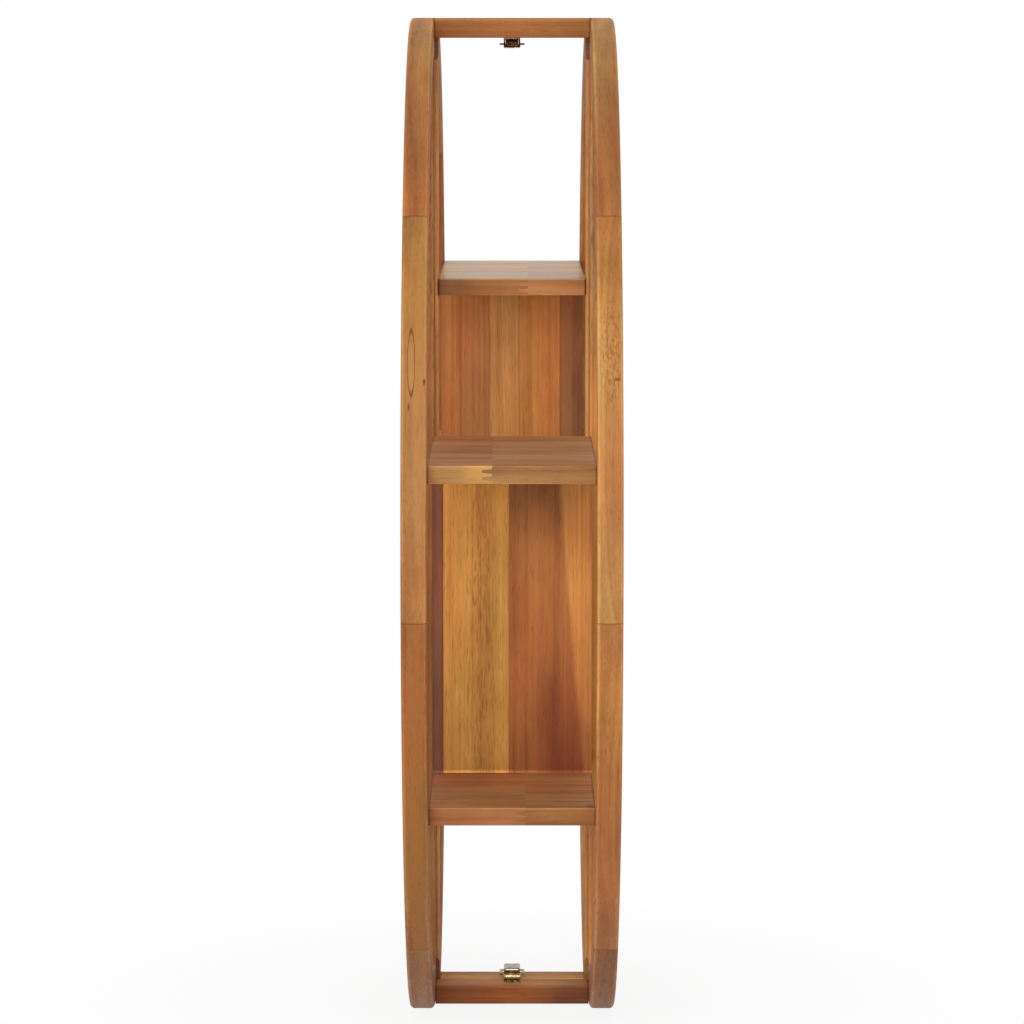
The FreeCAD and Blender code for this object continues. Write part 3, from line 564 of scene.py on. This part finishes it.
alongY = (math.pi / 2, 0.0, 0.0)
alongZ = (0.0, 0.0, 0.0)
# upper-face tints in this table are painted light on the bottom block and the lower and upper shelves, and painted
# shade on the middle shelves
boards = {
    # painted light and painted shade in the stiles' shades: the right back and both left stiles brightened, the right
    # front one darkened, for how light reaches them in their slots
    "stile_right_front": {"tone": "amber", "grain": alongZ, "shade": 0.88},
    "stile_right_back": {"tone": "copper", "grain": alongZ, "shade": 1.3},
    "stile_left_front": {"tone": "golden", "grain": alongZ, "shade": 1.2},
    "stile_left_back": {"tone": "honey", "grain": alongZ, "shade": 1.05},
    "block_right_top": {"tone": "copper", "grain": alongY, "shade": 0.78},
    "block_right_bottom": {"tone": "chestnut", "grain": alongY, "shade": 1.35},
    "block_left_top": {"tone": "amber", "grain": alongY},
    "block_left_bottom": {"tone": "golden", "grain": alongY, "shade": 1.1, "topShading": (1.22, 1.55, 1.65)},
    "shelf_right_middle_front": {"tone": "fawn", "grain": alongY, "strip": 17.0, "shade": 0.9,
                                 "topShading": (1.0, 0.9, 0.93)},
    "shelf_right_middle_back": {"tone": "fawn", "grain": alongY, "strip": 17.0, "shade": 0.88,
                                "topShading": (1.0, 0.9, 0.93)},
    "shelf_right_lower_front": {"tone": "russet", "grain": alongY, "strip": 16.0, "shade": 1.02,
                                "topShading": (1.22, 1.35, 1.6)},
    "shelf_right_lower_back": {"tone": "amber", "grain": alongY, "strip": 16.0, "shade": 0.89,
                               "topShading": (1.22, 1.35, 1.6)},
    "shelf_left_upper_front": {"tone": "fawn", "grain": alongY, "strip": 18.0, "shade": 0.98, "gloss": 0.42,
                               "topShading": (1.17, 1.27, 1.1)},
    "shelf_left_upper_back": {"tone": "fawn", "grain": alongY, "strip": 18.0, "shade": 0.92, "gloss": 0.42,
                              "topShading": (1.17, 1.27, 1.1)},
    "shelf_left_middle_front": {"tone": "amber", "grain": alongY, "strip": 17.0},
    "shelf_left_middle_back": {"tone": "russet", "grain": alongY, "strip": 17.0},
    # the dark tone of this first stave is a painted shadow, cast on the panel's edge by the arcs beside it
    "panel_right_stave_1": {"tone": "umber", "grain": alongZ, "shade": 1.15},
    "panel_right_stave_2": {"tone": "straw", "grain": alongZ, "shade": 1.1, "pores": 0.5, "contrast": 0.55},
    "panel_right_stave_3": {"tone": "copper", "grain": alongZ, "shade": 1.32},
    # the far panel's staves are brightened beyond their tones: painted light in their recess between the shelves
    "panel_left_stave_1": {"tone": "amber", "grain": alongZ, "shade": 1.5},
    "panel_left_stave_2": {"tone": "russet", "grain": alongZ, "shade": 1.38},
    "panel_left_stave_3": {"tone": "honey", "grain": alongZ, "shade": 1.12},
    "panel_left_stave_4": {"tone": "copper", "grain": alongZ, "shade": 1.27},
    "panel_left_stave_5": {"tone": "chestnut", "grain": alongZ, "shade": 1.1},
}
boardGrain = {"pithAside": 0.06, "pithAcross": 0.15, "pithAbove": 0.13, "firstSeed": 2.0, "nextSeed": 5.3}

# lines along the glued edges of boards, a pale line at the foot of a panel, and painted light and painted shade on
# upper faces
seam = {
    "width": 0.0015, "edge": 0.5, "ragged": 0.8, "share": 0.75, "everywhere": 9.0,
    "foot": 0.0024, "footTint": (2.2, 2.4, 3.0), "staveTint": (0.8, 0.74, 0.72), "topShadingDepth": 0.0012,
}


def lineMark(axis, place, width=seam["width"], tint=glue["tint"]):
    centre, reach = [0.0] * 3, [seam["everywhere"]] * 3
    centre[axis], reach[axis] = place, width
    return {"mask": "Inside", "centre": centre, "reach": reach, "edge": seam["edge"], "ragged": seam["ragged"],
            "tint": tint, "share": seam["share"]}


def boardSeamsAndTopShading(nodeName, board, low, high):
    lines = []
    if nodeName.startswith("shelf"):
        lines = [lineMark(1, low[1] if nodeName.endswith("front") else high[1])]
    if nodeName.startswith("block"):
        lines = [lineMark(1, low[1]), lineMark(1, high[1])]
    if nodeName.startswith("panel"):
        lines = [lineMark(1, edge[1], tint=seam["staveTint"]) for edge in (low, high)]
        lines += [lineMark(2, high[2]), lineMark(2, low[2], seam["foot"], seam["footTint"])]
    # painted light and painted shade on the upper face: lighter or darker than the board's edges, as light falls on
    # them
    if "topShading" in board:
        lines.append({**lineMark(2, high[2], seam["topShadingDepth"], board["topShading"]), "ragged": 0.0, "share": 1.0})
    return lines


def dressBoards():
    for index, (nodeName, board) in enumerate(boards.items()):
        low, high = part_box(nodeName)
        middle = [(a + b) / 2 for a, b in zip(low, high)]
        marks.setdefault(nodeName, []).extend(boardSeamsAndTopShading(nodeName, board, low, high))
        side = (-1) ** index
        edges = "alongZ"
        pith = (middle[0] + boardGrain["pithAside"], middle[1] + boardGrain["pithAcross"] * side, 0.0)
        if board["grain"] is alongY:
            edges = "alongY"
            pith = (middle[0] + boardGrain["pithAside"] * side, -middle[2] + boardGrain["pithAbove"], 0.0)
        seed = boardGrain["firstSeed"] + index * boardGrain["nextSeed"]
        dress(nodeName, teakMaterial(nodeName, board["tone"], board["grain"], (0, 0, 0), pith, seed,
                                     board.get("shade", 1.0), board.get("strip", 0.0),
                                     board.get("gloss", lacquer["coat"]), board.get("pores", lacquer["pores"]),
                                     board.get("contrast", teak["contrast"]), edges=edges))


# Metal: antique brass on the latches, darkened on the top latch as painted shade, zinc on the hangers

patina = {
    "cloudScale": 170.0, "cloudRange": (0.35, 0.65, 0.1, 0.85),
    "speckScale": 1400.0, "speckRange": (0.6, 0.7, 0.0, 0.15),
    "scratchScale": 900.0, "scratchStretch": (0.06, 1.0, 1.0), "scratchRange": (0.62, 0.7, 0.0, 0.35),
    "roughening": 0.18, "bump": 0.1, "bumpDepth": 0.0002,
}


def metalGroup():
    group, given, result = newGroup("agedMetal", [
        ("Vector", "NodeSocketVector", None),
        ("Bright", "NodeSocketColor", (0.6, 0.45, 0.2, 1)),
        ("Dark", "NodeSocketColor", (0.1, 0.06, 0.03, 1)),
        ("Roughness", "NodeSocketFloat", 0.25),
    ], [("Color", "NodeSocketColor"), ("Roughness", "NodeSocketFloat"), ("Height", "NodeSocketFloat")])
    cloud = noiseNode(group, given["Vector"], patina["cloudScale"], 4.0, 0.6)
    speck = noiseNode(group, given["Vector"], patina["speckScale"], 1.0)
    scratch = noiseNode(group, given["Vector"], patina["scratchScale"], 1.0, 0.5, patina["scratchStretch"])
    tarnish = mathNode(group, "ADD", rangeNode(group, cloud, *patina["cloudRange"]),
                       rangeNode(group, speck, *patina["speckRange"]), True)
    tarnish = mathNode(group, "SUBTRACT", tarnish, rangeNode(group, scratch, *patina["scratchRange"]), True)
    group.links.new(mixColor(group, tarnish, given["Bright"], given["Dark"]), result["Color"])
    rough = mathNode(group, "ADD", given["Roughness"], mathNode(group, "MULTIPLY", tarnish, patina["roughening"]))
    group.links.new(rough, result["Roughness"])
    group.links.new(mathNode(group, "ADD", speck, scratch), result["Height"])
    return group


agedMetal = metalGroup()
metals = {
    "antiqueBrass": {"bright": (0.54, 0.4, 0.2), "dark": (0.09, 0.06, 0.032), "roughness": 0.22},
    # the same brass in painted shade, for the top latch and its screws, which are seen from below
    "brassInShade": {"bright": (0.26, 0.165, 0.1), "dark": (0.045, 0.028, 0.02), "roughness": 0.26},
    "zincPlate": {"bright": (0.66, 0.66, 0.64), "dark": (0.38, 0.38, 0.37), "roughness": 0.3},
}


def metalMaterial(name):
    metal = metals[name]
    material = bpy.data.materials.new(name)
    material.use_nodes = True
    tree = material.node_tree
    shader = tree.nodes["Principled BSDF"]
    coords = addNode(tree, "ShaderNodeTexCoord").outputs["Object"]
    aged = useGroup(tree, agedMetal, {"Vector": coords, "Bright": (*metal["bright"], 1), "Dark": (*metal["dark"], 1),
                                      "Roughness": metal["roughness"]})
    tree.links.new(aged["Color"], shader.inputs["Base Color"])
    tree.links.new(aged["Roughness"], shader.inputs["Roughness"])
    bump = addNode(tree, "ShaderNodeBump", {"Strength": patina["bump"], "Distance": patina["bumpDepth"],
                                            "Height": aged["Height"]})
    tree.links.new(bump.outputs[0], shader.inputs["Normal"])
    shader.inputs["Metallic"].default_value = 1.0
    return material


brass = metalMaterial("antiqueBrass")
shadedBrass = metalMaterial("brassInShade")
zinc = metalMaterial("zincPlate")


def dressMetal():
    for nodeName in nodeNames:
        if nodeName.startswith("latch"):
            dress(nodeName, shadedBrass if "_top_" in nodeName else brass)
        if nodeName.startswith("hanger"):
            dress(nodeName, zinc)


dowel = {"tone": "honey", "pith": (0.1, 0.1, 0.0), "firstSeed": 40.0}


def dressDowels():
    for index, nodeName in enumerate(n for n in nodeNames if n.endswith("_dowels")):
        dress(nodeName, teakMaterial(nodeName, dowel["tone"], alongZ, (0, 0, 0), dowel["pith"],
                                     dowel["firstSeed"] + index))


dressArcs()
dressBoards()
dressMetal()
dressDowels()
print("wood and metal dressed")


# Screws with a cross recess, each one where the plain screw of the CAD model is

screw = {
    "headRadius": 0.0023, "shankRadius": 0.0012, "shankLength": 0.012, "tip": 0.003, "steps": 24,
    "panHeight": 0.0011, "panFoot": 0.0023, "panRound": 0.0004,
    "sunkHeight": 0.0015, "sunkFoot": 0.0012, "sunkRound": 0.0001,
    "rim": 0.0004, "crossHalf": 0.0003, "crossDepth": 0.0006, "crossTaper": 0.00008,
    "acrossLatch": 0.004, "latchInset": 0.005, "hangerInset": 0.003, "smoothTo": 35.0, "mergeWithin": 1e-6,
    "turn": 1.1,   # from one screw to the next, in radians
}


def screwTemplate(kind):
    height, foot, edgeRound = (screw[kind + part] for part in ("Height", "Foot", "Round"))
    end = -height - screw["shankLength"]
    profile = [(0.0, end), (screw["shankRadius"], end + screw["tip"]), (screw["shankRadius"], -height)]
    if foot > screw["shankRadius"]:
        profile.append((foot, -height))
    profile += [(screw["headRadius"], -edgeRound), (screw["headRadius"] - edgeRound, 0.0)]
    body = bmesh.new()
    verts = [body.verts.new((x, 0.0, z)) for x, z in profile]
    edges = [body.edges.new(pair) for pair in zip(verts, verts[1:])]
    bmesh.ops.spin(body, geom=verts + edges, cent=(0, 0, 0), axis=(0, 0, 1), angle=2 * math.pi,
                   steps=screw["steps"], use_merge=True)
    bmesh.ops.remove_doubles(body, verts=body.verts, dist=screw["mergeWithin"])
    top = bmesh.ops.edgeloop_fill(body, edges=[e for e in body.edges if e.is_boundary])["faces"]
    bmesh.ops.recalc_face_normals(body, faces=body.faces)
    # inset the top, cut it along the arms of the cross and sink them
    bmesh.ops.inset_region(body, faces=top, thickness=screw["rim"])
    cutting = top + [e for f in top for e in f.edges] + [v for f in top for v in f.verts]
    for axis in (Vector((1, 0, 0)), Vector((0, 1, 0))):
        for side in (1, -1):
            cutting = bmesh.ops.bisect_plane(body, geom=cutting, plane_co=axis * side * screw["crossHalf"],
                                             plane_no=axis)["geom"]
    arms = []
    for face in cutting:
        if isinstance(face, bmesh.types.BMFace):
            middle = face.calc_center_median()
            if min(abs(middle.x), abs(middle.y)) < screw["crossHalf"]:
                arms.append(face)
    bmesh.ops.inset_region(body, faces=arms, thickness=screw["crossTaper"], depth=-screw["crossDepth"])
    for face in body.faces:
        face.smooth = True
    template = bpy.data.meshes.new(kind + "Screw")
    body.to_mesh(template)
    body.free()
    return template


def buildScrews(name, nodeName, kind, places, outward, material):
    template = screwTemplate(kind)
    body = bmesh.new()
    for index, place in enumerate(places):
        before = len(body.verts)
        body.from_mesh(template)
        body.verts.ensure_lookup_table()
        turned = Matrix.Rotation(outward, 4, "X") @ Matrix.Rotation(screw["turn"] * index, 4, "Z")
        bmesh.ops.transform(body, matrix=Matrix.Translation(place) @ turned, verts=body.verts[before:])
    mesh = bpy.data.meshes.new(name)
    body.to_mesh(mesh)
    body.free()
    bpy.data.meshes.remove(template)
    mesh.set_sharp_from_angle(angle=math.radians(screw["smoothTo"]))
    mesh.materials.append(material)
    piece = bpy.data.objects.new(name, mesh)
    scene.collection.objects.link(piece)
    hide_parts(nodeName)
    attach(piece, "shelf")


def latchScrewPlaces(end):
    base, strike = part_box(f"latch_{end}_base"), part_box(f"latch_{end}_strike")
    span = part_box(f"latch_{end}_screws")
    inset = screw["latchInset"]
    if end == "top":
        columns, level = (base[1][0] - inset, strike[0][0] + inset), span[0][2]
    else:
        columns, level = (base[0][0] + inset, strike[1][0] - inset), span[1][2]
    return [(x, y, level) for x in columns for y in (screw["acrossLatch"], -screw["acrossLatch"])]


def hangerScrewPlaces():
    places = []
    for half in ("right", "left"):
        low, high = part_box(f"hanger_{half}")
        levels = (high[2] - screw["hangerInset"], low[2] + screw["hangerInset"])
        places += [((low[0] + high[0]) / 2, high[1], z) for z in levels]
    return places


buildScrews("cross_screws_top", "latch_top_screws", "pan", latchScrewPlaces("top"), math.pi, shadedBrass)
buildScrews("cross_screws_bottom", "latch_bottom_screws", "pan", latchScrewPlaces("bottom"), 0.0, brass)
buildScrews("cross_screws_hangers", "hanger_screws", "sunk", hangerScrewPlaces(), -math.pi / 2, zinc)
print("screws built")


# Studio: pale floor, white surround, soft lamps and the camera of the photograph

studio = {
    "distance": 5.684, "height": 0.564, "aim": (0.0, 0.0, 0.00115),
    "lens": 164.8, "sensor": 36.0, "clipEnd": 100.0,
    "floorColor": (0.9, 0.9, 0.9, 1), "floorRoughness": 0.9, "floorBelow": 0.002, "floorSize": 80.0,
    "floorShadow": 0.12, "shadowReach": (0.1, 0.7), "worldStrength": 0.34,
}
lamps = {
    "keyLamp": {"place": (5.6, -0.8, 1.3), "size": 2.2, "power": 126.0},
    "leftLamp": {"place": (2.6, -3.6, 0.7), "size": 2.0, "power": 48.0},
    "rightLamp": {"place": (2.6, 3.6, 0.7), "size": 2.0, "power": 28.0},
    "topLamp": {"place": (0.5, 0.0, 4.0), "size": 3.5, "power": 52.0},
}


def seenDirectly(tree):
    path = addNode(tree, "ShaderNodeLightPath").outputs
    seen = mathNode(tree, "ADD", path["Is Camera Ray"], path["Is Glossy Ray"], True)
    return mathNode(tree, "ADD", seen, path["Is Transmission Ray"], True)


def buildFloor():
    bpy.ops.mesh.primitive_plane_add(size=studio["floorSize"], location=(0, 0, cadBox[0][2] - studio["floorBelow"]))
    floor = bpy.context.object
    floor.name = "studioFloor"
    material = bpy.data.materials.new("paleFloor")
    material.use_nodes = True
    tree = material.node_tree
    shader = tree.nodes["Principled BSDF"]
    shader.inputs["Base Color"].default_value = studio["floorColor"]
    shader.inputs["Roughness"].default_value = studio["floorRoughness"]
    # white everywhere but close to the object, where the shadow stays
    away = vectorNode(tree, "LENGTH", addNode(tree, "ShaderNodeTexCoord").outputs["Object"])
    white = rangeNode(tree, away, *studio["shadowReach"], 1.0 - studio["floorShadow"], 1.0)
    glow = addNode(tree, "ShaderNodeEmission", {"Color": (1, 1, 1, 1), "Strength": 1.0})
    mix = addNode(tree, "ShaderNodeMixShader")
    tree.links.new(mathNode(tree, "MULTIPLY", seenDirectly(tree), white), mix.inputs[0])
    tree.links.new(shader.outputs[0], mix.inputs[1])
    tree.links.new(glow.outputs[0], mix.inputs[2])
    tree.links.new(mix.outputs[0], tree.nodes["Material Output"].inputs["Surface"])
    floor.data.materials.append(material)


def buildWorld():
    world = bpy.data.worlds.new("studioWorld")
    scene.world = world
    world.use_nodes = True
    tree = world.node_tree
    strength = rangeNode(tree, seenDirectly(tree), 0.0, 1.0, studio["worldStrength"], 1.0)
    background = tree.nodes["Background"]
    background.inputs["Color"].default_value = (1, 1, 1, 1)
    tree.links.new(strength, background.inputs["Strength"])


def buildLamps():
    for name, lamp in lamps.items():
        data = bpy.data.lights.new(name, "AREA")
        data.size = lamp["size"]
        data.energy = lamp["power"]
        item = bpy.data.objects.new(name, data)
        item.location = lamp["place"]
        item.rotation_euler = (-Vector(lamp["place"])).to_track_quat("-Z", "Y").to_euler()
        scene.collection.objects.link(item)


def buildCamera():
    data = bpy.data.cameras.new("photoCamera")
    data.lens = studio["lens"]
    data.sensor_width = studio["sensor"]
    data.clip_end = studio["clipEnd"]
    item = bpy.data.objects.new("photoCamera", data)
    item.location = (studio["distance"], 0.0, studio["height"])
    aim = Vector(studio["aim"]) - item.location
    item.rotation_euler = aim.to_track_quat("-Z", "Y").to_euler()
    scene.collection.objects.link(item)
    scene.camera = item


buildFloor()
buildWorld()
buildLamps()
buildCamera()
print("studio ready")
